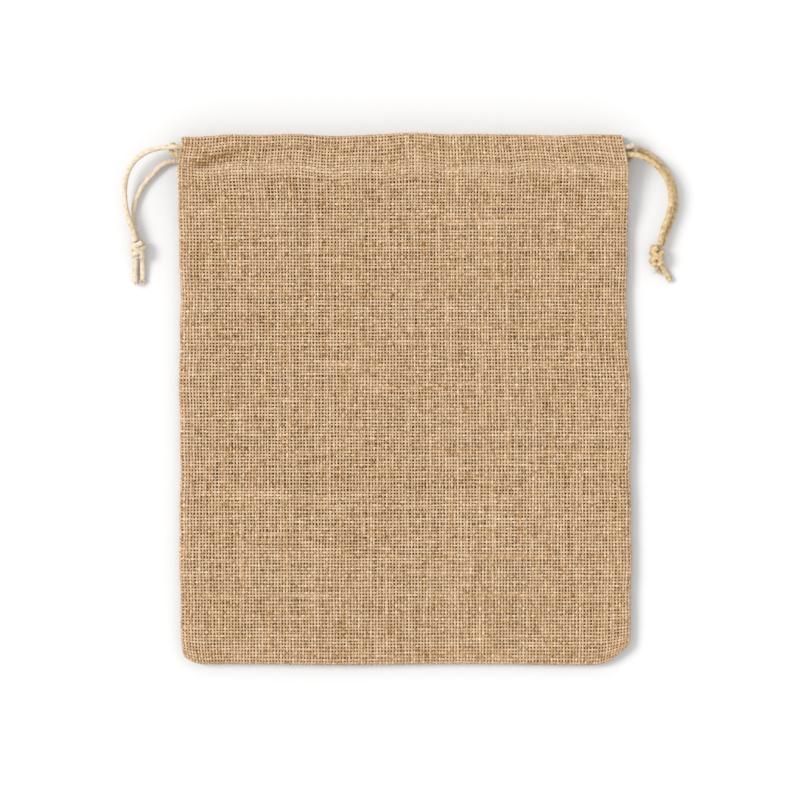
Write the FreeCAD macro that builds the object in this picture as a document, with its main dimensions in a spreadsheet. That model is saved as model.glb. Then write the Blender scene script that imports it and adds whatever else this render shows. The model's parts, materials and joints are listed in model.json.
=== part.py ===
"""Drawstring gift pouch, lying flat with its mouth towards +Y.

Millimetres, +Z up. The origin is on the floor, under the middle of the pouch.
Two cloth panels are joined by turned-in seams at the sides and the bottom. Each
panel's top hem is folded down and stitched, which leaves a channel. Two cords run
through both channels: one turns round at the right and is knotted at the left, the
other turns round at the left and is knotted at the right.
"""

import FreeCAD, Part
import math
import os
import Sketcher

from FreeCAD import Vector

doc = FreeCAD.newDocument("DrawstringPouch")

# ---------------------------------------------------------------- dimensions
sheet = doc.addObject("Spreadsheet::Sheet", "Dimensions")
DIMS = [
    ("bag_width", 250.0),
    ("bag_height", 294.0),
    ("cloth", 1.0),
    ("cavity", 5.2),
    ("seam_width", 8.0),
    ("corner_radius", 9.0),
    ("panel_top", 124.0),
    ("ramp_start", 90.0),
    ("hem_closed", 127.0),
    ("hem_open", 130.3),
    ("channel", 3.6),
    ("mouth_gap", 4.4),
    ("casing_left", 124.6),
    ("casing_right", 121.6),
    ("thread_size", 0.6),
    ("stitch_length", 3.0),
    ("stitch_pitch", 5.0),
    ("cord_size", 3.0),
    ("left_front_run", 139.4),
    ("left_back_run", 132.1),
    ("right_front_run", 135.2),
    ("right_back_run", 139.3),
    ("knot_size", 9.0),
]
for row, (alias, value) in enumerate(DIMS, start=1):
    sheet.set("A%d" % row, alias)
    sheet.set("B%d" % row, str(value))
    sheet.setAlias("B%d" % row, alias)
doc.recompute()


def dim(alias):
    return float(sheet.get(alias))


def origin_plane(body, role):
    for feature in body.Origin.OriginFeatures:
        if feature.Role == role:
            return feature
    raise RuntimeError("no " + role)


SUB_PARTS = []


def profile_body(label, points, left, right):
    """A body whose YZ profile is extruded along X from -left to +right.

    points are (y expression, z expression) pairs in order round the profile.
    """
    body = doc.addObject("PartDesign::Body", label)
    body.Label = label
    sk = body.newObject("Sketcher::SketchObject", label + "_profile")
    sk.AttachmentSupport = (origin_plane(body, "YZ_Plane"), "")
    sk.MapMode = "FlatFace"
    doc.recompute()
    add_polygon(sk, points)
    pad = body.newObject("PartDesign::Pad", label + "_length")
    pad.Profile = sk
    pad.setExpression("Length", "%s + %s" % (left, right))
    doc.recompute()
    # the YZ sketch extrudes towards +X, so the body is set back by its left half
    body.setExpression("Placement.Base.x", "-(%s)" % left)
    body.Tip = pad
    doc.recompute()
    SUB_PARTS.append(body)
    return body, sk


def add_polygon(sk, points):
    """Closed polygon whose corners are held by named distances from the origin."""
    values = [(evaluate(y), evaluate(z)) for y, z in points]
    first = sk.GeometryCount
    n = len(points)
    for i in range(n):
        a, b = values[i], values[(i + 1) % n]
        sk.addGeometry(Part.LineSegment(Vector(a[0], a[1], 0), Vector(b[0], b[1], 0)), False)
    for i in range(n):
        sk.addConstraint(
            Sketcher.Constraint("Coincident", first + i, 2, first + (i + 1) % n, 1)
        )
    for i, (y, z) in enumerate(points):
        for axis, text, value in (("X", y, values[i][0]), ("Y", z, values[i][1])):
            c = sk.addConstraint(
                Sketcher.Constraint("Distance" + axis, -1, 1, first + i, 1, value)
            )
            name = "p%d%s" % (first + i, axis.lower())
            sk.renameConstraint(c, name)
            sk.setExpression("Constraints." + name, text)


def evaluate(text):
    names = {alias: dim(alias) for alias, _ in DIMS}
    for alias in sorted(names, key=len, reverse=True):
        text = text.replace("Dimensions." + alias, repr(names[alias]))
    return float(evaluate_sum(text))


def evaluate_sum(text):
    """Sums and differences of numbers, each maybe divided by a number."""
    total, sign = 0.0, 1.0
    for word in text.replace("+", " + ").replace(" - ", " @ ").split():
        if word == "+":
            sign = 1.0
        elif word == "@":
            sign = -1.0
        elif "/" in word:
            a, b = word.split("/")
            total += sign * float(a) / float(b)
        else:
            total += sign * float(word)
    return total


D = "Dimensions."
HALF = D + "bag_width/2"
TOP = D + "bag_height/2"
LOW = "0 - " + D + "bag_height/2"
# heights of the cloth layers over the floor
Z_BACK_IN = D + "cloth + " + D + "channel"
Z_BACK_TOP = Z_BACK_IN + " + " + D + "cloth"
Z_MOUTH_TOP = Z_BACK_TOP + " + " + D + "mouth_gap"
Z_FRONT_IN = Z_MOUTH_TOP + " + " + D + "cloth"
Z_FRONT_OUT = Z_FRONT_IN + " + " + D + "channel"
Z_TOP = Z_FRONT_OUT + " + " + D + "cloth"
Z_CAVITY = D + "cloth + " + D + "cavity"


def round_bottom(body, tip_name):
    """Rounds the two bottom corners, seen from above."""
    tip = body.Tip
    edges = []
    for i, e in enumerate(tip.Shape.Edges, start=1):
        if len(e.Vertexes) != 2:
            continue
        a, b = e.Vertexes[0].Point, e.Vertexes[1].Point
        if (
            abs(a.x - b.x) < 1e-6
            and abs(a.y - b.y) < 1e-6
            and abs(a.y + dim("bag_height") / 2) < 1e-3
        ):
            edges.append("Edge%d" % i)
    fillet = body.newObject("PartDesign::Fillet", tip_name)
    fillet.Base = (tip, edges)
    fillet.setExpression("Radius", D + "corner_radius")
    body.Tip = fillet
    doc.recompute()


# ---------------------------------------------------------------- cloth panels
back_panel, _ = profile_body(
    "back_panel",
    [(LOW, "0"), (D + "panel_top", "0"), (D + "panel_top", D + "cloth"), (LOW, D + "cloth")],
    HALF,
    HALF,
)
round_bottom(back_panel, "back_panel_corners")

front_panel, _ = profile_body(
    "front_panel",
    [
        (LOW, Z_CAVITY),
        (D + "ramp_start", Z_CAVITY),
        (D + "panel_top", Z_MOUTH_TOP),
        (D + "panel_top", Z_FRONT_IN),
        (D + "ramp_start", Z_CAVITY + " + " + D + "cloth"),
        (LOW, Z_CAVITY + " + " + D + "cloth"),
    ],
    HALF,
    HALF,
)
round_bottom(front_panel, "front_panel_corners")

# ------------------------------------------------- casings: a folded, closed hem
IN_TOP = TOP + " - " + D + "cloth"


def casing(label, sign):
    """Closed hem, of two cloth layers with the cord channel between them."""
    if sign > 0:  # back casing: the outer layer is flat on the floor
        outline = [
            (D + "panel_top", "0"),
            (TOP, "0"),
            (TOP, Z_BACK_TOP),
            (D + "hem_open", Z_BACK_TOP),
            (D + "hem_closed", D + "cloth + " + D + "cloth"),
            (D + "panel_top", D + "cloth + " + D + "cloth"),
        ]
        hole = [
            (D + "hem_closed", D + "cloth"),
            (IN_TOP, D + "cloth"),
            (IN_TOP, Z_BACK_IN),
            (D + "hem_open", Z_BACK_IN),
        ]
    else:  # front casing: the inner layer is flat, the outer one rises over the cord
        outline = [
            (D + "panel_top", Z_MOUTH_TOP),
            (TOP, Z_MOUTH_TOP),
            (TOP, Z_TOP),
            (D + "hem_open", Z_TOP),
            (D + "hem_closed", Z_FRONT_IN + " + " + D + "cloth"),
            (D + "panel_top", Z_FRONT_IN + " + " + D + "cloth"),
        ]
        hole = [
            (D + "hem_closed", Z_FRONT_IN),
            (IN_TOP, Z_FRONT_IN),
            (IN_TOP, Z_FRONT_OUT),
            (D + "hem_open", Z_FRONT_OUT),
        ]
    body, sk = profile_body(label, outline, D + "casing_left", D + "casing_right")
    add_polygon(sk, hole)
    doc.recompute()
    return body


front_casing = casing("front_casing_hem", -1)
back_casing = casing("back_casing_hem", 1)

# ----------------------------------------- turned-in seam allowances (two layers)


def seam_box(label, x, y, length, width):
    """Allowances as one strip between the panels, as wide as the seam."""
    box = doc.addObject("Part::Box", label + "_strip")
    box.setExpression("Length", length)
    box.setExpression("Width", width)
    box.setExpression("Height", D + "cavity")
    box.setExpression("Placement.Base.x", x)
    box.setExpression("Placement.Base.y", y)
    box.setExpression("Placement.Base.z", D + "cloth")
    doc.recompute()
    return box


def bottom_rounded(label, box, side):
    """Rounds the strip's outer bottom corner as on the panels."""
    if side is None:
        return box
    fillet = doc.addObject("Part::Fillet", label)
    fillet.Base = box
    chosen = []
    for i, e in enumerate(box.Shape.Edges, start=1):
        a, b = e.Vertexes[0].Point, e.Vertexes[-1].Point
        if (
            abs(a.x - b.x) < 1e-6
            and abs(a.y - b.y) < 1e-6
            and abs(a.y + dim("bag_height") / 2) < 1e-3
            and abs(a.x - side * dim("bag_width") / 2) < 1e-3
        ):
            chosen.append((i, 7.9, 7.9))
    fillet.Edges = chosen
    doc.recompute()
    return fillet


SEAM = D + "seam_width"
SIDE_RUN = D + "ramp_start + " + D + "bag_height / 2"
left_strip = seam_box("left_side_seam", "-" + HALF, "-" + TOP, SEAM, SIDE_RUN)
right_strip = seam_box("right_side_seam", HALF + " - " + SEAM, "-" + TOP, SEAM, SIDE_RUN)
bottom_strip = seam_box(
    "bottom_seam",
    "-" + HALF + " + " + SEAM,
    "-" + TOP,
    D + "bag_width - 2 * " + SEAM,
    SEAM,
)
for strip, label, side in (
    (left_strip, "left_side_seam", -1),
    (right_strip, "right_side_seam", 1),
    (bottom_strip, "bottom_seam", None),
):
    piece = bottom_rounded(label, strip, side)
    piece.Label = label
    SUB_PARTS.append(piece)

# ---------------------------------------------------------------- stitching


def stitch_rows(label, start, step, count, size):
    """A row of separate stitches, each a small thread bar lying on the cloth."""
    solids = []
    for i in range(count):
        base = start + step * i
        solids.append(
            Part.makeBox(
                size.x, size.y, size.z, base
            )
        )
    piece = doc.addObject("Part::Feature", label)
    piece.Shape = Part.makeCompound(solids)
    piece.Placement = FreeCAD.Placement(Vector(0, 0, 0), FreeCAD.Rotation())
    piece.Label = label
    SUB_PARTS.append(piece)
    return piece


thread = dim("thread_size")
pitch = dim("stitch_pitch")
stitch = dim("stitch_length")
cloth = dim("cloth")
half_w, half_h = dim("bag_width") / 2, dim("bag_height") / 2
z_mouth_top = 2 * cloth + dim("channel") + dim("mouth_gap")
z_flange_front = z_mouth_top + 2 * cloth
seam_top = dim("ramp_start")
# the hem's stitches lie on the sewn-down edge of each casing
n_hem = int((dim("casing_left") + dim("casing_right") - 6.0) // pitch)
stitch_rows(
    "front_casing_stitching",
    Vector(-dim("casing_left") + 3.0, dim("panel_top") + 1.2, z_flange_front),
    Vector(pitch, 0, 0),
    n_hem,
    Vector(stitch, thread, thread),
)
stitch_rows(
    "back_casing_stitching",
    Vector(-dim("casing_left") + 3.0, dim("panel_top") + 1.2, 2 * cloth),
    Vector(pitch, 0, 0),
    n_hem,
    Vector(stitch, thread, thread),
)
# the seam's stitches stand on the inner edge of the turned-in allowances
n_side = int((seam_top + half_h - 20.0) // pitch)
mid_z = cloth + dim("cavity") / 2 - thread / 2
stitch_rows(
    "left_seam_stitching",
    Vector(-half_w + dim("seam_width"), -half_h + 12.0, mid_z),
    Vector(0, pitch, 0),
    n_side,
    Vector(thread, stitch, thread),
)
stitch_rows(
    "right_seam_stitching",
    Vector(half_w - dim("seam_width") - thread, -half_h + 12.0, mid_z),
    Vector(0, pitch, 0),
    n_side,
    Vector(thread, stitch, thread),
)
n_bottom = int((2 * half_w - 30.0) // pitch)
stitch_rows(
    "bottom_seam_stitching",
    Vector(-half_w + 14.0, -half_h + dim("seam_width"), mid_z),
    Vector(pitch, 0, 0),
    n_bottom,
    Vector(stitch, thread, thread),
)

# ---------------------------------------------------------------- cords
RADIUS = dim("cord_size") / 2


def rounded_path(points):
    """Straight runs joined by tangent arcs. Returns the wire and the radii."""
    pts = [Vector(*p) for p in points]
    edges, radii, here = [], [], pts[0]
    for i in range(1, len(pts) - 1):
        a, b, c = pts[i - 1], pts[i], pts[i + 1]
        u, w = (a - b), (c - b)
        run = min(u.Length, w.Length)
        turn = math.pi - u.getAngle(w)
        u.normalize()
        w.normalize()
        cut = 0.45 * run
        radii.append(round(cut / math.tan(turn / 2), 1))
        p, q = b + u * cut, b + w * cut
        # the arc's middle lies on the line from the corner to its centre
        half = math.hypot(cut, cut / math.tan(turn / 2))
        r = cut / math.tan(turn / 2)
        mid = b + (u + w).normalize() * (half - r)
        edges.append(Part.LineSegment(here, p).toShape())
        edges.append(Part.Arc(p, mid, q).toShape())
        here = q
    edges.append(Part.LineSegment(here, pts[-1]).toShape())
    return Part.Wire(edges), radii


def cord_tube(label, points, radius=RADIUS):
    wire, radii = rounded_path(points)
    start = wire.Edges[0]
    tangent = (start.Vertexes[1].Point - start.Vertexes[0].Point).normalize()
    circle = Part.Wire(Part.makeCircle(radius, start.Vertexes[0].Point, tangent))
    solid = wire.makePipeShell([circle], True, True)
    if solid.ShapeType != "Solid":
        solid = Part.Solid(Part.Shell(solid.Faces))
    expected = math.pi * radius**2 * wire.Length
    print(
        "%-22s length %7.1f mm  radii %s  volume/expected %.4f"
        % (label, wire.Length, radii, solid.Volume / expected)
    )
    piece = doc.addObject("Part::Feature", label)
    piece.Shape = solid
    piece.Placement = FreeCAD.Placement(Vector(0, 0, 0), FreeCAD.Rotation())
    piece.Label = label
    SUB_PARTS.append(piece)
    return piece


Z_FRONT_CORD = z_mouth_top + cloth + dim("channel") / 2
Z_BACK_CORD = cloth + dim("channel") / 2


def through_run(label, side, y_front, y_back, exit_x, turn_x):
    """Both runs of one cord and the half circle in which it turns round.

    side is the side of the knot: -1 left, +1 right. The turn is on the other side.
    """
    front = Vector(side * exit_x, y_front, Z_FRONT_CORD)
    back = Vector(side * exit_x, y_back, Z_BACK_CORD)
    f2 = Vector(-side * turn_x, y_front, Z_FRONT_CORD)
    b2 = Vector(-side * turn_x, y_back, Z_BACK_CORD)
    centre = (f2 + b2) * 0.5
    turn_radius = (f2 - b2).Length / 2
    far = centre + Vector(-side * turn_radius, 0, 0)
    wire = Part.Wire(
        [
            Part.LineSegment(front, f2).toShape(),
            Part.Arc(f2, far, b2).toShape(),
            Part.LineSegment(b2, back).toShape(),
        ]
    )
    circle = Part.Wire(Part.makeCircle(RADIUS, front, Vector(-side, 0, 0)))
    solid = wire.makePipeShell([circle], True, True)
    if solid.ShapeType != "Solid":
        solid = Part.Solid(Part.Shell(solid.Faces))
    print(
        "%-22s length %7.1f mm  turn radius %.1f  volume/expected %.4f"
        % (label, wire.Length, turn_radius, solid.Volume / (math.pi * RADIUS**2 * wire.Length))
    )
    piece = doc.addObject("Part::Feature", label)
    piece.Shape = solid
    piece.Placement = FreeCAD.Placement(Vector(0, 0, 0), FreeCAD.Rotation())
    piece.Label = label
    SUB_PARTS.append(piece)


LEFT_EXIT, RIGHT_EXIT = 127.0, 124.0
through_run(
    "left_cord_run", -1, dim("left_front_run"), dim("left_back_run"), LEFT_EXIT, 120.6
)
through_run(
    "right_cord_run", 1, dim("right_front_run"), dim("right_back_run"), RIGHT_EXIT, 124.2
)

# the free strands, from each run's end to its knot
cord_tube(
    "left_strand_front",
    [
        (-LEFT_EXIT, dim("left_front_run"), Z_FRONT_CORD),
        (-134.5, dim("left_front_run"), Z_FRONT_CORD),
        (-144.5, 136.6, 10.6),
        (-151.6, 130.4, 9.2),
        (-155.2, 121.5, 8.0),
        (-155.6, 111.5, 7.3),
        (-153.7, 101.0, 7.0),
        (-150.6, 93.5, 6.9),
        (-149.2, 87.6, 6.6),
    ],
)
cord_tube(
    "left_strand_back",
    [
        (-LEFT_EXIT, dim("left_back_run"), Z_BACK_CORD),
        (-132.4, dim("left_back_run"), Z_BACK_CORD),
        (-139.4, 125.6, 2.5),
        (-145.8, 118.4, 2.3),
        (-150.0, 109.6, 2.2),
        (-151.0, 100.2, 2.2),
        (-149.6, 92.6, 2.4),
        (-148.0, 87.6, 3.0),
    ],
)
cord_tube(
    "right_strand_front",
    [
        (RIGHT_EXIT, dim("right_front_run"), Z_FRONT_CORD),
        (128.0, dim("right_front_run"), Z_FRONT_CORD),
        (135.2, 132.2, 11.8),
        (141.9, 126.2, 10.2),
        (146.3, 118.3, 8.8),
        (147.4, 109.7, 7.8),
        (145.5, 101.2, 7.2),
        (142.2, 93.4, 6.9),
        (140.8, 85.6, 6.6),
    ],
)
cord_tube(
    "right_strand_back",
    [
        (RIGHT_EXIT, dim("right_back_run"), Z_BACK_CORD),
        (128.6, dim("right_back_run"), Z_BACK_CORD),
        (136.0, 135.6, 2.7),
        (142.8, 129.6, 2.5),
        (147.6, 122.0, 2.3),
        (150.0, 113.2, 2.2),
        (149.6, 104.2, 2.2),
        (146.4, 95.6, 2.4),
        (142.0, 85.6, 3.0),
    ],
)


def knot(label, x, z, radius, rounding, low, high):
    """Overhand knot as one rounded barrel, flat where the strands and tails meet it."""
    barrel = doc.addObject("Part::Cylinder", label + "_barrel")
    barrel.setExpression("Radius", D + "knot_size * %.4f" % (radius / dim("knot_size")))
    barrel.Height = high - low
    barrel.Placement = FreeCAD.Placement(
        Vector(x, high, z), FreeCAD.Rotation(Vector(1, 0, 0), 90)
    )
    doc.recompute()
    lump = doc.addObject("Part::Fillet", label)
    lump.Base = barrel
    lump.Edges = [
        (i, rounding, rounding)
        for i, e in enumerate(barrel.Shape.Edges, start=1)
        if e.Curve.TypeId == "Part::GeomCircle"
    ]
    lump.Label = label
    doc.recompute()
    SUB_PARTS.append(lump)


knot("left_knot", -147.6, 4.9, 4.6, 2.0, 78.0, 87.6)
knot("right_knot", 139.8, 4.9, 4.7, 2.0, 73.6, 85.6)


def tail(label, start, end):
    """One cut cord end below the knot."""
    a, b = Vector(*start), Vector(*end)
    piece = doc.addObject("Part::Cylinder", label)
    piece.setExpression("Radius", D + "cord_size / 2")
    piece.Height = (b - a).Length
    piece.Placement = FreeCAD.Placement(a, FreeCAD.Rotation(Vector(0, 0, 1), b - a))
    piece.Label = label
    doc.recompute()
    SUB_PARTS.append(piece)


tail("left_tail_outer", (-149.3, 78.0, 3.2), (-149.4, 64.6, 1.8))
tail("left_tail_inner", (-145.7, 78.0, 3.2), (-145.4, 65.6, 1.8))
tail("right_tail_outer", (141.6, 73.6, 3.4), (147.0, 65.2, 1.9))
tail("right_tail_inner", (138.2, 73.6, 3.4), (138.6, 69.6, 2.2))

# ---------------------------------------------------------------- checks and files
doc.recompute()
for obj in doc.Objects:
    if "Invalid" in obj.State or "Error" in obj.State:
        raise RuntimeError("%s is %s" % (obj.Label, obj.State))
for obj in SUB_PARTS:
    if obj.Shape.isNull() or not obj.Shape.isValid():
        raise RuntimeError("%s has no valid shape" % obj.Label)

os.makedirs("parts", exist_ok=True)
for obj in SUB_PARTS:
    obj.Shape.exportStep("parts/%s.step" % obj.Label)
    b = obj.Shape.BoundBox
    print(
        "%-24s x %.1f..%.1f  y %.1f..%.1f  z %.1f..%.1f  volume %.0f"
        % (obj.Label, b.XMin, b.XMax, b.YMin, b.YMax, b.ZMin, b.ZMax, obj.Shape.Volume)
    )
print("%d sub-parts" % len(SUB_PARTS))
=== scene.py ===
import json
import math

import bpy
import numpy as np
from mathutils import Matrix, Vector


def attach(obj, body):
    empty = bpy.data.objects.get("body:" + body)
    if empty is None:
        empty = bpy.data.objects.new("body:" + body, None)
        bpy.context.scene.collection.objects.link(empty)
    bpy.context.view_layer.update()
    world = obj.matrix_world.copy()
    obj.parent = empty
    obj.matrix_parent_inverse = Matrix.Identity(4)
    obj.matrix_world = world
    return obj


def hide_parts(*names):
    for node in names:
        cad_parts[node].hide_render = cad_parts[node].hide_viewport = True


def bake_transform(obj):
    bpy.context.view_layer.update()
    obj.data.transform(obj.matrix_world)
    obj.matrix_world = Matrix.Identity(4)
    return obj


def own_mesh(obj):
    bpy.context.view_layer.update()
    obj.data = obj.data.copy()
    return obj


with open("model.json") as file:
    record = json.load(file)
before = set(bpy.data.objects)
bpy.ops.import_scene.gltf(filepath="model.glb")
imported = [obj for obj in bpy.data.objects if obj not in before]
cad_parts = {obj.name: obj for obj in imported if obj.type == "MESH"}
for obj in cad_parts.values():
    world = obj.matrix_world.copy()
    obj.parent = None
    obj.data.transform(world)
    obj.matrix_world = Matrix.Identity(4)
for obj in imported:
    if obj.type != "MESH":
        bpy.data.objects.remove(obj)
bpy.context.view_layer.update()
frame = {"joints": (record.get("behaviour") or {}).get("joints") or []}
MM = 0.001

# ------------------------------------------------------------------ camera
cam_data = bpy.data.cameras.new("camera")
cam = bpy.data.objects.new("camera", cam_data)
bpy.context.scene.collection.objects.link(cam)
cam_height = 3.0
cam.location = (-0.0030, -0.0003, cam_height)
cam.rotation_euler = (0, 0, 0)
cam_data.sensor_width = 36.0
cam_data.lens = 36.0 / (2 * (0.2213 / (cam_height - 0.007)))
cam_data.clip_start = 0.01
cam_data.clip_end = 20.0
bpy.context.scene.camera = cam
bpy.context.scene.view_settings.view_transform = "Standard"
bpy.context.scene.view_settings.look = "None"


# ------------------------------------------------------------------ materials
FIBRE = 0.68  # how much light the fibres give back, against the tints listed below


def srgb(r, g, b, k=1.0):
    """8-bit colour to linear, times k."""
    out = []
    for c in (r, g, b):
        c /= 255.0
        out.append(k * (c / 12.92 if c <= 0.04045 else ((c + 0.055) / 1.055) ** 2.4))
    return (*out, 1.0)


def principled(name, colour, roughness=0.85, sheen=0.0, sheen_tint=None, specular=0.25):
    m = bpy.data.materials.new(name)
    m.use_nodes = True
    p = m.node_tree.nodes["Principled BSDF"]
    p.inputs["Base Color"].default_value = colour
    p.inputs["Roughness"].default_value = roughness
    p.inputs["Specular IOR Level"].default_value = specular
    p.inputs["Sheen Weight"].default_value = sheen
    p.inputs["Sheen Roughness"].default_value = 0.5
    if sheen_tint:
        p.inputs["Sheen Tint"].default_value = sheen_tint
    m.diffuse_color = colour
    return m


JUTE = [  # from the palest dry fibre to the dark knots and slubs, chosen yarn by yarn; the dark end also serves as painted shade on the back cloth and in the crease
    (243, 214, 180),
    (234, 203, 168),
    (225, 193, 157),
    (215, 182, 145),
    (204, 167, 126),
    (190, 150, 107),
    (170, 127, 83),
    (146, 101, 58),
]
jute = [
    principled(f"jute_{i}", srgb(*c, FIBRE), 0.92, 0.02, srgb(255, 230, 190), 0.06)
    for i, c in enumerate(JUTE)
]


def twine_material(name, pale, dark):
    """Cotton cord: streaks along the plies, fine fibre bump."""
    m = principled(name, pale, 0.85, 0.25, srgb(255, 245, 225), 0.2)
    nt = m.node_tree
    p = nt.nodes["Principled BSDF"]
    coord = nt.nodes.new("ShaderNodeTexCoord")
    fine = nt.nodes.new("ShaderNodeTexNoise")
    fine.inputs["Scale"].default_value = 520.0
    fine.inputs["Detail"].default_value = 4.0
    ramp = nt.nodes.new("ShaderNodeValToRGB")
    ramp.color_ramp.elements[0].position = 0.33
    ramp.color_ramp.elements[0].color = dark
    ramp.color_ramp.elements[1].position = 0.62
    ramp.color_ramp.elements[1].color = pale
    nt.links.new(coord.outputs["Object"], fine.inputs["Vector"])
    nt.links.new(fine.outputs["Fac"], ramp.inputs["Fac"])
    nt.links.new(ramp.outputs["Color"], p.inputs["Base Color"])
    fibre = nt.nodes.new("ShaderNodeTexNoise")
    fibre.inputs["Scale"].default_value = 2600.0
    fibre.inputs["Detail"].default_value = 2.0
    nt.links.new(coord.outputs["Object"], fibre.inputs["Vector"])
    bump = nt.nodes.new("ShaderNodeBump")
    bump.inputs["Strength"].default_value = 0.5
    bump.inputs["Distance"].default_value = 0.0002
    nt.links.new(fibre.outputs["Fac"], bump.inputs["Height"])
    nt.links.new(bump.outputs["Normal"], p.inputs["Normal"])
    return m


left_twine = twine_material("left_twine", srgb(242, 226, 202, FIBRE), srgb(216, 194, 162, FIBRE))
right_twine = twine_material("right_twine", srgb(232, 206, 162, FIBRE), srgb(190, 157, 110, FIBRE))
thread_material = principled("sewing_thread", srgb(228, 200, 164, FIBRE), 0.8, 0.1)

# ------------------------------------------------------------------ sizes, in millimetres
HALF_W, HALF_H = 125.0, 147.0
PITCH_X = 1.722  # between the yarns that run up the pouch
PITCH_S = 1.842  # between the yarns that run across it
SEAM_MID = 3.6  # height at which the front and back cloth meet at a closed edge
KEEP = 0.25  # the casing's width when the cords are pulled right out
GATHER_TOP, GATHER_LOW = 120.0, -46.0


def polyline(points, smooth, step=0.25):
    """Points of a (y, z) profile, evenly spaced, with its corners rounded off."""
    p = np.array(points, float)
    d = np.r_[0, np.cumsum(np.linalg.norm(np.diff(p, axis=0), axis=1))]
    s = np.arange(0, d[-1], step)
    q = np.stack([np.interp(s, d, p[:, i]) for i in range(2)], 1)
    n = int(smooth / step) | 1
    kernel = np.hanning(n + 2)[1:-1]
    kernel /= kernel.sum()
    pad = n // 2
    ends = np.vstack([2 * q[0] - q[1 : pad + 1][::-1], q, 2 * q[-1] - q[-pad - 1 : -1][::-1]])
    q = np.stack([np.convolve(ends[:, i], kernel, "valid") for i in range(2)], 1)
    d = np.r_[0, np.cumsum(np.linalg.norm(np.diff(q, axis=0), axis=1))]
    return d, q


def fold(y, z_from, z_to, n=8):
    """Half circle past y, from one height to the other."""
    c, r = (z_from + z_to) / 2, abs(z_to - z_from) / 2
    sign = 1 if z_from > z_to else -1
    a = np.linspace(0, math.pi, n)
    return [(y + r * math.sin(t), c + sign * r * math.cos(t)) for t in a]


FRONT_PROFILE = polyline(
    [(-146.6, 6.7), (84, 6.7), (92, 7.0), (118, 9.9), (124, 11.2), (127.6, 11.6), (131, 14.6), (134, 15.0)]
    + fold(143.9, 15.0, 10.5)
    + [(126, 10.5), (123.6, 10.5)],
    4.0,
)
BACK_PROFILE = polyline(
    [(-146.6, 0.55), (134, 0.55)]
    + fold(143.9, 0.55, 5.1)
    + [(131, 5.1), (127.4, 1.9), (123.6, 1.7)],
    4.0,
)


def right_edge(y):
    return np.interp(y, [-147, -20, 5, 40, 104, 118, 127, 133, 140, 147], [124.9, 124.9, 124.4, 122.9, 122.9, 123.5, 123.9, 122.7, 121.0, 120.0])


def left_edge(y):
    return np.interp(y, [-147, -60, 60, 112, 121, 128, 134, 140, 147], [124.6, 125.0, 125.0, 125.3, 126.2, 126.4, 125.5, 124.4, 124.0])


def smoothstep(t):
    t = np.clip(t, 0, 1)
    return t * t * (3 - 2 * t)


WAVES = np.random.RandomState(11)
WAVE_SET = [
    (WAVES.uniform(0.09, 0.20), WAVES.uniform(-0.05, 0.05), WAVES.uniform(0, 6.28), WAVES.uniform(0.5, 1.0))
    for _ in range(5)
]
PLEATS = [
    (WAVES.uniform(0.19, 0.36), WAVES.uniform(-0.03, 0.03), WAVES.uniform(0, 6.28), WAVES.uniform(0.5, 1.0))
    for _ in range(4)
]
SLOW_SET = [
    (WAVES.uniform(-0.035, 0.035), WAVES.uniform(-0.03, 0.03), WAVES.uniform(0, 6.28), WAVES.uniform(0.4, 1.0))
    for _ in range(6)
]


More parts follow.
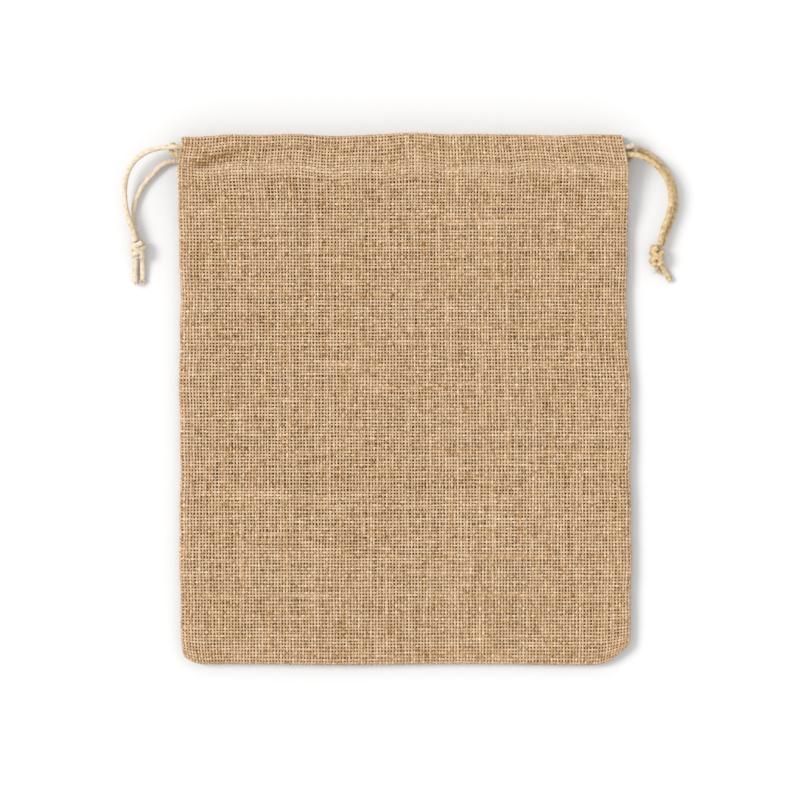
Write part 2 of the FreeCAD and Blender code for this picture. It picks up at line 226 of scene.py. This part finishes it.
def surface(x, s, profile, front):
    """Middle of the cloth, in mm: x across (before edges are shaped), s up the profile."""
    d, q = profile
    y = np.interp(s, d, q[:, 0])
    z = np.interp(s, d, q[:, 1])
    top = s > np.interp(146.0, q[: np.argmax(q[:, 0]), 0], d[: np.argmax(q[:, 0])])
    # soft waves: along the casing, dying out below it, and slow ones all over
    casing = smoothstep((y - 96) / 26)
    w = sum(a * np.sin(kx * x + ky * y + ph) for kx, ky, ph, a in WAVE_SET)
    slow = sum(a * np.sin(kx * x + ky * y + ph) for kx, ky, ph, a in SLOW_SET)
    if front:
        fine = sum(a * np.sin(kx * x + ky * y + ph) for kx, ky, ph, a in PLEATS)
        # the troughs lie on the cords in the channel, they don't sink into them
        rise = 0.30 + 0.22 * np.logaddexp(0.0, (0.20 + 0.28 * w + 0.20 * fine) / 0.22)
        z = z + np.where(top, 0.0, rise * casing) + 0.20 * slow * (1 - casing)
        z = z + np.where(top, 0.0, 0.20 * fine * smoothstep((y - 30) / 90) * (1 - casing))
        # a shallow crease above the stitching at the left
        lean = (x + 106) / 15
        z = z + np.where(top, 0.0, 1.2 * np.exp(-(lean**2)) * np.exp(-(((y - 138.0 - 3.6 * lean) / 3.4) ** 2)))
        z = z - np.where(top, 0.0, 0.9 * np.exp(-(lean**2)) * np.exp(-(((y - 129.4 - 2.6 * lean) / 2.2) ** 2)))
    else:
        z = z + 0.10 * w * casing * smoothstep((z - 0.9) / 2)
    # the top edge is not quite straight
    y = y + smoothstep((y - 112) / 14) * smoothstep((150 - y) / 9) * (
        0.55 * np.sin(x * 0.083 + 1.1) + 0.35 * np.sin(x * 0.19 + 0.4)
    )
    y = y + smoothstep((y - 128) / 14) * (0.45 * np.sin(x * 0.045 + 0.8) + 0.30 * np.sin(x * 0.11 + 2.0) - 2.1 * smoothstep((-96 - x) / 26))
    # closed edges: front and back cloth turn in to meet each other
    e_side = np.minimum(HALF_W - x, HALF_W + x)
    e_low = y + HALF_H
    side_shut = smoothstep((112 - y) / 22)
    t_side = np.sqrt(np.clip(1 - np.clip(1 - e_side / 5.0, 0, 1) ** 2, 0, 1))
    t_side = 1 - (1 - t_side) * side_shut
    t_low = np.sqrt(np.clip(1 - np.clip(1 - e_low / 5.0, 0, 1) ** 2, 0, 1))
    t = t_side * t_low
    z = SEAM_MID + (z - SEAM_MID) * (0.14 + 0.86 * t)
    # the outline narrows a little towards the mouth on the right
    x2 = np.where(x > 0, x * right_edge(y) / HALF_W, x * left_edge(y) / HALF_W)
    # small irregularity of the side edges
    x2 = x2 + np.where(x > 0, 1, -1) * smoothstep((np.abs(x) - 100) / 25) * (0.35 * np.sin(y * 0.07 + 1.0) + 0.2 * np.sin(y * 0.19))
    # bottom corners
    low = np.exp(-np.clip(e_low, 0, None) / 9.0)
    lift = np.where(x < 0, 4.6 * np.clip((-x - 113) / 12, 0, None) ** 2.2, 11.0 * np.clip((x - 106) / 19, 0, None) ** 1.8)
    y2 = y + lift * low + 0.35 * np.sin(x * 0.05) * low
    x2 = x2 - np.sign(x) * 2.2 * np.clip((-133 - y) / 14, 0, None) ** 2 * smoothstep((np.abs(x) - 90) / 35)
    return np.stack([x2, y2, z], -1)


def frame_at(x, s, profile, front):
    e = 0.3
    p = surface(x, s, profile, front)
    dx = surface(x + e, s, profile, front) - surface(x - e, s, profile, front)
    ds = surface(x, s + e, profile, front) - surface(x, s - e, profile, front)
    dx /= np.linalg.norm(dx, axis=-1, keepdims=True)
    ds /= np.linalg.norm(ds, axis=-1, keepdims=True)
    n = np.cross(dx, ds)
    n /= np.linalg.norm(n, axis=-1, keepdims=True)
    return p, dx, ds, n


def smooth_noise(rng, n, k, step):
    m = int(k / step) + 3
    r = rng.normal(size=(n, m))
    x = np.arange(k) / step
    i = x.astype(int)
    f = x - i
    f = f * f * (3 - 2 * f)
    return r[:, i] * (1 - f) + r[:, i + 1] * f


class Cloth:
    """All the yarns of one panel with its hem, as rings that bands are cut from."""

    def __init__(self, profile, front, sides, seed, full=1.0):
        rng = np.random.RandomState(seed)
        self.profile, self.front, self.sides = profile, front, sides
        self.full = full
        length = profile[0][-1]
        self.rows = int(length / PITCH_S)
        self.pitch_s = length / self.rows
        self.cols = int(2 * HALF_W / PITCH_X)
        self.pitch_x = 2 * HALF_W / self.cols
        rows, cols = self.rows, self.cols
        flip = 1 if front else -1
        # yarns up the pouch
        k = 2 * rows + 1
        s = np.arange(k) * self.pitch_s / 2
        i = np.arange(cols)
        x0 = -HALF_W + (i + 0.5) * self.pitch_x
        # some yarns crowd together and leave gaps beside them
        crowd = np.convolve(rng.normal(size=cols), [0.3, 0.5, 0.3], "same") * 0.07
        own = np.clip(rng.normal(1.0, 0.055, cols), 0.85, 1.3)
        wob = 0.10 * smooth_noise(rng, cols, k, 26) + 0.05 * smooth_noise(rng, cols, k, 5)
        x = x0[:, None] + crowd[:, None] + wob
        x = np.clip(x, -HALF_W + 0.35, HALF_W - 0.35)
        slub = 1 + 0.10 * smooth_noise(rng, cols, k, 6) + 0.07 * smooth_noise(rng, cols, k, 30)
        thick = np.clip(own[:, None] * slub, 0.6, 1.75)
        cross = np.where(np.arange(k) % 2 == 1, 1.0, 0.0)
        over = np.where((i[:, None] + (np.arange(k)[None, :] // 2)) % 2 == 0, 1.0, -1.0)
        up = 0.29 * cross[None, :] * over
        self.warp = self._rings(x, np.broadcast_to(s, (cols, k)), up, thick, 0.565 if front else 0.61, 0.345, True)
        tone = 0.22 * rng.normal(size=cols)[:, None] + 0.20 * smooth_noise(rng, cols, k, 34) + 0.48 * smooth_noise(rng, cols, k, 4)
        self.warp_shade = self._shade(tone, rng, x, np.arange(k) * self.pitch_s / 2)
        # yarns across it
        k = 2 * cols + 1
        x = -HALF_W + np.arange(k) * self.pitch_x / 2
        j = np.arange(rows)
        s0 = (j + 0.5) * self.pitch_s
        crowd = np.convolve(rng.normal(size=rows), [0.3, 0.5, 0.3], "same") * 0.07
        own = np.clip(rng.normal(1.0, 0.06, rows), 0.85, 1.35)
        wob = 0.12 * smooth_noise(rng, rows, k, 30) + 0.05 * smooth_noise(rng, rows, k, 5)
        s = np.clip(s0[:, None] + crowd[:, None] + wob, 0.35, length - 0.35)
        slub = 1 + 0.10 * smooth_noise(rng, rows, k, 6) + 0.08 * smooth_noise(rng, rows, k, 26)
        thick = np.clip(own[:, None] * slub, 0.6, 1.8)
        cross = np.where(np.arange(k) % 2 == 1, 1.0, 0.0)
        over = np.where((j[:, None] + (np.arange(k)[None, :] // 2)) % 2 == 0, -1.0, 1.0)
        up = 0.29 * cross[None, :] * over
        x = np.clip(x, -HALF_W + 0.3, HALF_W - 0.3)
        self.weft = self._rings(np.broadcast_to(x, (rows, k)), s, up, thick, 0.59 if front else 0.64, 0.345, False)
        tone = 0.22 * rng.normal(size=rows)[:, None] + 0.20 * smooth_noise(rng, rows, k, 30) + 0.48 * smooth_noise(rng, rows, k, 4)
        self.weft_shade = self._shade(tone, rng, x, s0[:, None])
        # the row whose yarn is nearest a given height up the pouch
        d, q = profile
        self.row_y = np.interp(s0, d, q[:, 0])
        self.last_out = int(np.argmax(self.row_y))

    def _shade(self, tone, rng, x, s):
        # the hem's two layers under the stitching are painted a little paler, as painted light for the fewer shaded
        # holes of the denser doubled cloth, and the crease at the left is painted darker, as painted shade in the fold
        y = self.y_at(s)
        lean = (x + 106) / 15
        # painted light: the doubled hem under the stitching is painted paler, where fewer holes show shade
        band = np.exp(-(((y - 127.6) / 3.2) ** 2))
        # painted shade: a darker tone in the crease at the left, where the fold lies in shade
        crease_shade_mask = np.exp(-(lean**2)) * np.exp(-(((y - 133.2 - 4.4 * lean) / 3.2) ** 2))
        # painted shade: the middle of the back cloth only shows through the holes of the front one, and is painted
        # darker than the front for the shade it lies in there; the darker tone fades out near the closed edges and the
        # casing
        back_shade_mask = smoothstep((HALF_W - np.abs(x) - 4.0) / 6.0) * smoothstep((y + HALF_H - 4.0) / 6.0) * smoothstep((126.0 - y) / 6.0)
        t = 3.0 + (0.0 if self.front else 2.4) * back_shade_mask + 1.35 * tone + 0.85 * rng.normal(size=tone.shape) - 0.9 * band + 2.8 * crease_shade_mask
        return np.clip(np.round(t), 0, len(JUTE) - 1).astype(np.int32)

    def y_at(self, s):
        """Height up the pouch on the outer layer. The folded-in hem counts as past the top."""
        d, q = self.profile
        top = int(np.argmax(q[:, 0]))
        return np.where(s > d[top], 200.0, np.interp(s, d, q[:, 0]))

    def _rings(self, x, s, up, thick, half_w, half_t, along_s):
        p, dx, ds, n = frame_at(x, s, self.profile, self.front)
        thick = thick * self.full * (1 + 0.20 * np.exp(-(((self.y_at(s) - 127.6) / 3.4) ** 2)))
        side = dx if along_s else ds
        a = np.arange(self.sides) * 2 * math.pi / self.sides + (math.pi / 2 if self.sides % 2 else math.pi / self.sides)
        w = (half_w * thick)[..., None, None]
        h = (half_t * np.sqrt(thick))[..., None, None]
        c = (p + n * up[..., None])[:, :, None, :]
        return (
            c
            + w * np.cos(a)[None, None, :, None] * side[:, :, None, :]
            + h * np.sin(a)[None, None, :, None] * n[:, :, None, :]
        )

    def band(self, name, row_a, row_b):
        """One object with every yarn piece between two rows."""
        last = row_b == self.rows
        warp = self.warp[:, 2 * row_a : 2 * row_b + 1]
        weft = self.weft[row_a:row_b]
        ws = self.warp_shade[:, 2 * row_a : 2 * row_b]
        return tubes(
            name,
            [
                (warp, ws, row_a == 0, last),
                (weft, self.weft_shade[row_a:row_b, :-1], True, True),
            ],
        )


def tubes(name, groups):
    """A mesh of open tubes. Each group is (rings, shade of each stretch, capped at its start, at its end)."""
    verts, quads, shades, caps = [], [], [], []
    base = 0
    for rings, shade, cap_a, cap_b in groups:
        n, k, m, _ = rings.shape
        verts.append(rings.reshape(-1, 3))
        idx = (np.arange(n * k * m) + base).reshape(n, k, m)
        nxt = np.roll(idx, -1, axis=2)
        quads.append(
            np.stack([idx[:, :-1], nxt[:, :-1], nxt[:, 1:], idx[:, 1:]], -1).reshape(-1, 4)
        )
        shades.append(np.repeat(shade[:, : k - 1].reshape(-1), m))
        if cap_a:
            caps.append((idx[:, 0, ::-1], shade[:, 0]))
        if cap_b:
            caps.append((idx[:, -1, :], shade[:, k - 2]))
        base += n * k * m
    v = np.vstack(verts) * MM
    quads = np.vstack(quads)
    shades = np.concatenate(shades)
    loops = quads.reshape(-1)
    starts = np.arange(len(quads)) * 4
    for poly, shade in caps:
        m = poly.shape[1]
        starts = np.r_[starts, len(loops) + np.arange(len(poly)) * m]
        loops = np.r_[loops, poly.reshape(-1)]
        shades = np.r_[shades, shade]
    me = bpy.data.meshes.new(name)
    me.vertices.add(len(v))
    me.vertices.foreach_set("co", v.astype(np.float32).ravel())
    me.loops.add(len(loops))
    me.loops.foreach_set("vertex_index", loops.astype(np.int32))
    me.polygons.add(len(starts))
    me.polygons.foreach_set("loop_start", starts.astype(np.int32))
    for mat in jute:
        me.materials.append(mat)
    me.polygons.foreach_set("material_index", shades.astype(np.int32))
    me.polygons.foreach_set("use_smooth", np.ones(len(starts), bool))
    me.update(calc_edges=True)
    me.validate()
    ob = bpy.data.objects.new(name, me)
    bpy.context.scene.collection.objects.link(ob)
    return ob


def keep_at(y):
    """How much of its width the cloth keeps at height y with the cords pulled right out."""
    t = smoothstep((GATHER_TOP - y) / (GATHER_TOP - GATHER_LOW))
    return KEEP + (1 - KEEP) * t


BANDS = 80


def make_panel(label, cloth, nodes):
    """Cuts the cloth into the casing, the bands that gather and the part that keeps its width."""
    pieces, keeps_used = [], [1.0]
    y = cloth.row_y[: cloth.last_out]
    hem = int(np.searchsorted(y, GATHER_TOP))
    keeps = keep_at(y[:hem])
    edges = [0]
    low = int(np.searchsorted(-keeps, -(1 - 0.5 * (1 - KEEP) / BANDS)))
    edges.append(max(low, 4))
    target = np.linspace(1, KEEP, BANDS + 1)
    for level in target[1:-1]:
        r = int(np.searchsorted(-keeps, -level))
        if edges[-1] < r < hem:
            edges.append(r)
    edges.append(hem)
    for b in range(len(edges) - 1):
        ra, rb = edges[b], edges[b + 1]
        name = f"{label}_cloth" if b == 0 else f"{label}_gather_{b:02d}"
        ob = cloth.band(name, ra, rb)
        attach(ob, "pouch")
        if b:
            k = float(keep_at(0.5 * (cloth.row_y[ra] + cloth.row_y[min(rb, len(y) - 1)])))
            k = min(1.0, max(KEEP, k))
            keeps_used.append(k)
            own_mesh(ob)
        pieces.append(ob)
    ob = cloth.band(f"{label}_casing", hem, cloth.rows)
    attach(ob, "pouch")
    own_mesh(ob)
    pieces.append(ob)
    return pieces, edges, keeps_used


front = Cloth(FRONT_PROFILE, True, 6, 3)
front_pieces, _, _ = make_panel("front", front, None)
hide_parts("front_panel", "left_side_seam", "right_side_seam", "bottom_seam")
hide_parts("front_casing_hem")
back = Cloth(BACK_PROFILE, False, 4, 8, 1.38)
back_pieces, back_rows, back_keeps = make_panel("back", back, None)
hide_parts("back_panel")
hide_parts("back_casing_hem")


# ------------------------------------------------------------------ stitching
def stitches(name, x_list, s_list, along_x, profile, is_front, offset, length, node, keep=None, radius=0.24):
    """Short thread arches that dip into the cloth at both ends."""
    k = 7
    t = np.linspace(-1, 1, k)
    n = len(x_list)
    x = np.asarray(x_list)[:, None] + (t * length / 2 if along_x else 0 * t)[None, :]
    s = np.asarray(s_list)[:, None] + (0 * t if along_x else t * length / 2)[None, :]
    p, dx, ds, nn = frame_at(x, s, profile, is_front)
    sign = 1 if offset > 0 else -1
    c = p + nn * (offset * (1 - 1.15 * t[None, :, None] ** 4))
    side = ds if along_x else dx
    m = 6
    a = np.arange(m) * 2 * math.pi / m
    rings = (
        c[:, :, None, :]
        + radius * np.cos(a)[None, None, :, None] * side[:, :, None, :]
        + radius * np.sin(a)[None, None, :, None] * (nn * sign)[:, :, None, :]
    )
    ob = tubes(name, [(rings, np.zeros((n, k - 1), np.int32), True, True)])
    ob.data.materials.clear()
    ob.data.materials.append(thread_material)
    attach(ob, "pouch")
    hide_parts(node)
    if keep is not None:
        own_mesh(ob)
    return ob


def s_at(profile, y, second=False):
    d, q = profile
    top = int(np.argmax(q[:, 0]))
    if not second:
        return float(np.interp(y, q[:top, 0], d[:top]))
    return float(np.interp(-y, -q[top:, 0], d[top:]))


rng = np.random.RandomState(5)
hem_x = np.arange(-122.0, 119.5, 3.1)
jitter = lambda n, a: a * rng.normal(size=n)
stitches(
    "front_casing_seam", hem_x + jitter(len(hem_x), 0.12),
    s_at(FRONT_PROFILE, 127.6) + jitter(len(hem_x), 0.10), True,
    FRONT_PROFILE, True, 0.62, 2.3, "front_casing_stitching", KEEP,
)
stitches(
    "back_casing_seam", hem_x, s_at(BACK_PROFILE, 127.6) + 0 * hem_x, True,
    BACK_PROFILE, False, -0.55 * 0.5, 2.3, "back_casing_stitching", KEEP, 0.2,
)
for tag, sx, node in (("left", -118.2, "left_seam_stitching"), ("right", 118.2, "right_seam_stitching")):
    s_cut = float(back.pitch_s * back_rows[1])
    low_s = np.arange(14.0, s_cut - 1.5, 3.4)
    stitches(f"{tag}_seam_thread", sx + 0 * low_s, low_s, False, BACK_PROFILE, False, 1.2, 2.4, node)
    # above the part that keeps its width, each band gets its own few stitches, cut to its rows
    for b in range(1, len(back_rows) - 1):
        s0, s1 = back.pitch_s * back_rows[b], back.pitch_s * back_rows[b + 1]
        if s0 > 226.0:
            break
        stitches(
            f"{tag}_seam_thread_{b:02d}", np.array([sx]), np.array([(s0 + s1) / 2]), False,
            BACK_PROFILE, False, 1.2, min(2.4, 0.8 * (s1 - s0)), node, back_keeps[b],
        )
bottom_x = np.arange(-112.0, 112.0, 3.4)
stitches(
    "bottom_seam_thread", bottom_x, 7.6 + 0 * bottom_x, True, BACK_PROFILE, False, 1.2, 2.4, "bottom_seam_stitching", None,
)


# ------------------------------------------------------------------ cords
def spline_points(route, name):
    """Evenly read points of the route's NURBS spline."""
    cu = bpy.data.curves.new(name + "_route", "CURVE")
    cu.dimensions = "3D"
    sp = cu.splines.new("NURBS")
    sp.points.add(len(route) - 1)
    for i, p in enumerate(route):
        sp.points[i].co = (p[0] * MM, p[1] * MM, p[2] * MM, 1.0)
    sp.order_u = 3
    sp.use_endpoint_u = True
    sp.resolution_u = 24
    ob = bpy.data.objects.new(name + "_route", cu)
    bpy.context.scene.collection.objects.link(ob)
    bpy.context.view_layer.update()
    me = bpy.data.meshes.new_from_object(ob)
    pts = np.array([v.co for v in me.vertices], float) * 1000.0
    bpy.data.objects.remove(ob)
    bpy.data.curves.remove(cu)
    bpy.data.meshes.remove(me)
    return pts


def resample(pts, step):
    d = np.r_[0, np.cumsum(np.linalg.norm(np.diff(pts, axis=0), axis=1))]
    keep = np.r_[True, np.diff(d) > 1e-6]
    pts, d = pts[keep], d[keep]
    n = max(3, int(round(d[-1] / step)) + 1)
    s = np.linspace(0, d[-1], n)
    return np.stack([np.interp(s, d, pts[:, i]) for i in range(3)], 1), s


def twine_mesh(name, pts, s, material, radius=1.5, lobes=3, pitch=10.5, phase=0.0, sides=24, round_ends=False, depth=0.07, taper=None):
    """A twisted cord: one closed tube whose section has a lobe for each ply."""
    t = np.gradient(pts, axis=0)
    t /= np.linalg.norm(t, axis=1, keepdims=True)
    # a frame carried along the line without turning about it
    u = np.zeros_like(pts)
    ref = np.array([0, 0, 1.0]) if abs(t[0, 2]) < 0.9 else np.array([1.0, 0, 0])
    u[0] = np.cross(t[0], ref)
    u[0] /= np.linalg.norm(u[0])
    for i in range(1, len(pts)):
        v = u[i - 1] - t[i] * (u[i - 1] @ t[i])
        u[i] = v / np.linalg.norm(v)
    w = np.cross(t, u)
    a = np.arange(sides) * 2 * math.pi / sides
    turn = 2 * math.pi * s / pitch + phase
    lobe = np.abs(np.cos(lobes / 2 * (a[None, :] - turn[:, None]))) ** 0.8
    r = radius * (1 - depth + depth * lobe)
    rough = 1 + 0.02 * np.sin(s * 0.7 + phase) + 0.025 * np.sin(s * 0.31 + 2 * phase)
    r = r * rough[:, None]
    if taper is not None:
        r = r * taper[:, None]
    v = pts[:, None, :] + r[..., None] * (
        np.cos(a)[None, :, None] * u[:, None, :] + np.sin(a)[None, :, None] * w[:, None, :]
    )
    n = len(pts)
    idx = np.arange(n * sides).reshape(n, sides)
    nxt = np.roll(idx, -1, axis=1)
    faces = np.stack([idx[:-1], nxt[:-1], nxt[1:], idx[1:]], -1).reshape(-1, 4).tolist()
    faces += [idx[0, ::-1].tolist(), idx[-1].tolist()]
    me = bpy.data.meshes.new(name)
    me.from_pydata((v.reshape(-1, 3) * MM).tolist(), [], faces)
    me.polygons.foreach_set("use_smooth", np.ones(len(faces), bool))
    me.materials.append(material)
    me.update()
    ob = bpy.data.objects.new(name, me)
    bpy.context.scene.collection.objects.link(ob)
    return ob


ROUTES = {
    "left_strand_front": [(-127.0, 139.4, 12.8), (-134.5, 139.4, 12.8), (-144.5, 136.6, 10.6), (-151.6, 130.4, 9.2), (-155.2, 121.5, 8.0), (-155.6, 111.5, 7.3), (-153.7, 101.0, 7.0), (-150.6, 93.5, 6.9), (-149.2, 87.6, 6.6)],
    "left_strand_back": [(-127.0, 132.1, 2.8), (-132.4, 132.1, 2.8), (-139.4, 125.6, 2.5), (-145.8, 118.4, 2.3), (-150.0, 109.6, 2.2), (-151.0, 100.2, 2.2), (-149.6, 92.6, 2.4), (-148.0, 87.6, 3.0)],
    "right_strand_front": [(124.0, 135.2, 12.8), (128.0, 135.2, 12.8), (135.2, 132.2, 11.8), (141.9, 126.2, 10.2), (146.3, 118.3, 8.8), (147.4, 109.7, 7.8), (145.5, 101.2, 7.2), (142.2, 93.4, 6.9), (140.8, 85.6, 6.6)],
    "right_strand_back": [(124.0, 139.3, 2.8), (128.6, 139.3, 2.8), (136.0, 135.6, 2.7), (142.8, 129.6, 2.5), (147.6, 122.0, 2.3), (150.0, 113.2, 2.2), (149.6, 104.2, 2.2), (146.4, 95.6, 2.4), (142.0, 85.6, 3.0)],
}


def half_turn(x, y_front, y_back, side, n=7):
    """Control points of a cord that turns round from the front channel to the back one."""
    f, b = np.array([x, y_front, 12.8]), np.array([x, y_back, 2.8])
    c, r = (f + b) / 2, np.linalg.norm(f - b) / 2
    down = (b - f) / (2 * r)
    a = np.linspace(-math.pi / 2, math.pi / 2, n)
    rr = r * 1.04
    # the loop stands up a little between the two strands that leave beside it
    rise = [3.6 * math.exp(-(((t + 0.35 * side) / 0.5) ** 2)) for t in a]
    return [
        tuple(c + down * rr * math.sin(t) + np.array([side * rr * math.cos(t), h, 0]))
        for t, h in zip(a, rise)
    ]


def run_route(exit_x, turn_x, y_front, y_back, side):
    """Through the front channel, round the far edge and back, as one route."""
    xs = np.linspace(-side * exit_x, side * turn_x, 7)
    a = [(x, y_front, 12.8) for x in xs[:-1]]
    b = [(x, y_back, 2.8) for x in xs[:-1][::-1]]
    return a + half_turn(side * turn_x, y_front, y_back, side) + b


def frayed(name, end, direction, material, body, count=7, seed=1, spread=0.35, length=2.2):
    """Loose fibres at a cut cord end."""
    rr = np.random.RandomState(seed)
    direction = np.array(direction, float)
    direction /= np.linalg.norm(direction)
    verts, faces = [], []
    for _ in range(count):
        d = direction + spread * rr.normal(size=3) * np.array([1, 1, 0.35])
        d /= np.linalg.norm(d)
        off = rr.normal(size=3) * np.array([0.6, 0.3, 0.45])
        p0 = np.array(end) + off - direction * 0.5
        ln = length * rr.uniform(0.5, 1.2)
        bend = rr.normal(size=3) * 0.5 * np.array([1, 1, 0.2])
        base = len(verts)
        for k in range(5):
            t = k / 4
            c = p0 + d * ln * t + bend * t * t
            c[2] = max(c[2], 0.35)
            w = (0.32 if length > 3 else 0.22) * (1 - 0.7 * t)
            side = np.cross(d, [0, 0, 1.0])
            side /= np.linalg.norm(side)
            up = np.cross(side, d)
            for a in range(4):
                ang = a * math.pi / 2
                verts.append((c + w * (math.cos(ang) * side + math.sin(ang) * up)) * MM)
        for k in range(4):
            for a in range(4):
                q, q2 = base + k * 4 + a, base + k * 4 + (a + 1) % 4
                faces.append([q, q2, q2 + 4, q + 4])
        faces.append([base + 3, base + 2, base + 1, base])
        faces.append([base + 16, base + 17, base + 18, base + 19])
    me = bpy.data.meshes.new(name)
    me.from_pydata([tuple(v) for v in verts], [], faces)
    me.materials.append(material)
    me.update()
    ob = bpy.data.objects.new(name, me)
    bpy.context.scene.collection.objects.link(ob)
    return ob


def knot_lump(name, centre, axis_len, material, seed, tilt, radius=3.15, cord_r=1.6):
    """Overhand knot in the doubled cord: turns wound round the strands, over a core."""
    rr = np.random.RandomState(seed)
    pieces = []
    # the wound turns, as one route round the bundle
    start = 1.0 + 0.5 * (seed - 1)
    turns, per = 1.7, 16
    n = int(turns * per)
    route = []
    for i in range(n + 1):
        t = i / n
        a = 2 * math.pi * turns * t + start
        y = (t - 0.5) * (axis_len - 2 * cord_r - 0.6)
        rad = radius * (1 + 0.05 * math.sin(3 * a + seed))
        p = np.array([rad * math.cos(a), -y + tilt * math.cos(a), rad * math.sin(a) * 0.93])
        route.append(tuple(p + centre))
    pts, s = resample(spline_points(route, name), 0.45)
    pieces.append(twine_mesh(name, pts, s, material, cord_r, 2, 14.0, seed, 20))
    # a bight that crosses the turns on top
    c = np.array(centre)
    h = axis_len / 2
    route = [
        tuple(c + np.array(p))
        for p in (
            (-1.9, h * 0.80, 0.6), (-2.9, h * 0.45, 2.2), (-1.6, h * 0.1, 3.15), (0.9, -h * 0.2, 3.15), (2.6, -h * 0.5, 1.9), (2.0, -h * 0.82, 0.3),
        )
    ]
    pts, s = resample(spline_points(route, name + "_b"), 0.45)
    pieces.append(twine_mesh(name + "_bight", pts, s, material, cord_r * 0.97, 2, 14.0, 1.0 + seed, 20))
    core = []
    for k, dx in enumerate((-1.3, 1.3)):
        route = [tuple(c + np.array(p)) for p in ((dx, h * 0.98, 0.0), (dx * 0.9, h * 0.3, 0.1), (dx * 1.1, -h * 0.3, -0.1), (dx, -h * 0.98, 0.0))]
        pts, s = resample(spline_points(route, f"{name}_c{k}"), 0.6)
        core.append(twine_mesh(f"{name}_core_{k}", pts, s, material, 1.9, 2, 14.0, k, 14))
    return pieces + core


def side_cord(tag, side, material, y_front, y_back, exit_x, turn_x, knot_c, knot_len, tails, seed):
    body_run, body_end = f"{tag}_cord", f"{tag}_end"
    hinge = [j for j in frame["joints"] if j["name"] == f"{tag}_end_swing"][0]["pos_m"]
    made = {}
    pts, s = resample(spline_points(run_route(exit_x, turn_x, y_front, y_back, -side), f"{tag}_run"), 0.8)
    run = twine_mesh(f"{tag}_cord_through", pts, s, material, 1.5, 2, 17.0, seed, 18)
    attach(run, body_run)
    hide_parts(f"{tag}_cord_run")
    end_pieces = []
    for k, (which, yy, zz) in enumerate((("front", y_front, 12.8), ("back", y_back, 2.8))):
        node = f"{tag}_strand_{which}"
        pts, s = resample(spline_points(ROUTES[node], node), 0.45)
        ob = twine_mesh(f"{tag}_free_{which}", pts, s, material, 1.5, 2, 17.0, seed + k, 24)
        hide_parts(node)
        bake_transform(ob)
        made[which] = (ob, pts, s)
    knot = knot_lump(f"{tag}_knot_turns", knot_c, knot_len, material, seed, 1.3)
    for i, ob in enumerate(knot):
        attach(ob, body_end)
    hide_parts(f"{tag}_knot")
    end_pieces += knot
    for i, (tail_name, route, fray) in enumerate(tails):
        pts, s = resample(spline_points(route, f"{tag}_{tail_name}"), 0.4)
        fade = np.ones(len(s))
        fade[-3:] = [0.97, 0.92, 0.80]
        ob = twine_mesh(f"{tag}_{tail_name}_end", pts, s, material, 1.5, 2, 17.0, seed + 2 * i, 20, taper=fade)
        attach(ob, body_end)
        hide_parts(f"{tag}_{tail_name}")
        end_pieces.append(ob)
        loose = fray > 9
        aim = (pts[-1] - pts[-4]) / np.linalg.norm(pts[-1] - pts[-4])
        if loose and side < 0:
            aim = aim + np.array([0.7, 0.0, 0.0])
        f = frayed(
            f"{tag}_{tail_name}_fray", pts[-1], aim, material, body_end, fray, seed + i,
            0.6 if loose else 0.35, 4.2 if loose else 2.2,
        )
        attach(f, body_end)
        end_pieces.append(f)
    for which, others in (("front", end_pieces), ("back", ())):
        ob, pts, s = made[which]


side_cord(
    "left", -1, left_twine, 139.4, 132.1, 127.0, 120.6,
    np.array([-147.6, 82.8, 4.75]), 10.2,
    [
        ("tail_outer", [(-149.0, 79.0, 3.6), (-149.5, 75.0, 2.6), (-149.9, 70.0, 1.9), (-149.4, 64.8, 1.75)], 6),
        ("tail_inner", [(-145.9, 79.0, 3.6), (-145.6, 75.0, 2.6), (-145.5, 70.5, 1.9), (-145.7, 65.9, 1.75)], 14),
    ],
    1,
)
side_cord(
    "right", 1, right_twine, 135.2, 139.3, 124.0, 124.2,
    np.array([139.3, 79.8, 4.9]), 12.0,
    [
        ("tail_outer", [(141.4, 75.0, 3.8), (142.9, 72.2, 2.8), (145.0, 69.0, 2.0), (147.0, 65.9, 1.8)], 3),
        ("tail_inner", [(138.4, 76.4, 4.4), (138.8, 75.0, 4.0), (139.2, 73.6, 3.4), (139.7, 72.3, 2.8)], 16),
    ],
    2,
)

# ------------------------------------------------------------------ floor and light
me = bpy.data.meshes.new("floor")
f = 6.0
me.from_pydata([(-f, -f, -0.0002), (f, -f, -0.0002), (f, f, -0.0002), (-f, f, -0.0002)], [], [(0, 1, 2, 3)])
floor = bpy.data.objects.new("floor", me)
bpy.context.scene.collection.objects.link(floor)
floor_material = principled("floor", (0.62, 0.62, 0.62, 1.0), 0.9)
me.materials.append(floor_material)

world = bpy.data.worlds.new("studio")
world.use_nodes = True
bg = world.node_tree.nodes["Background"]
bg.inputs["Color"].default_value = (1.0, 1.0, 1.0, 1.0)
bg.inputs["Strength"].default_value = 1.12
bpy.context.scene.world = world


def area_light(name, at, to, size, power):
    data = bpy.data.lights.new(name, "AREA")
    data.shape = "DISK"
    data.size = size
    data.energy = power
    ob = bpy.data.objects.new(name, data)
    ob.location = at
    ob.rotation_euler = (Vector(to) - Vector(at)).to_track_quat("-Z", "Y").to_euler()
    bpy.context.scene.collection.objects.link(ob)
    return ob


sun = bpy.data.lights.new("key", "SUN")
sun.energy = 2.4
sun.angle = math.radians(24)
key = bpy.data.objects.new("key", sun)
key.rotation_euler = (Vector((0, 0, 0)) - Vector((-1.15, 0.30, 1.25))).to_track_quat("-Z", "Y").to_euler()
bpy.context.scene.collection.objects.link(key)
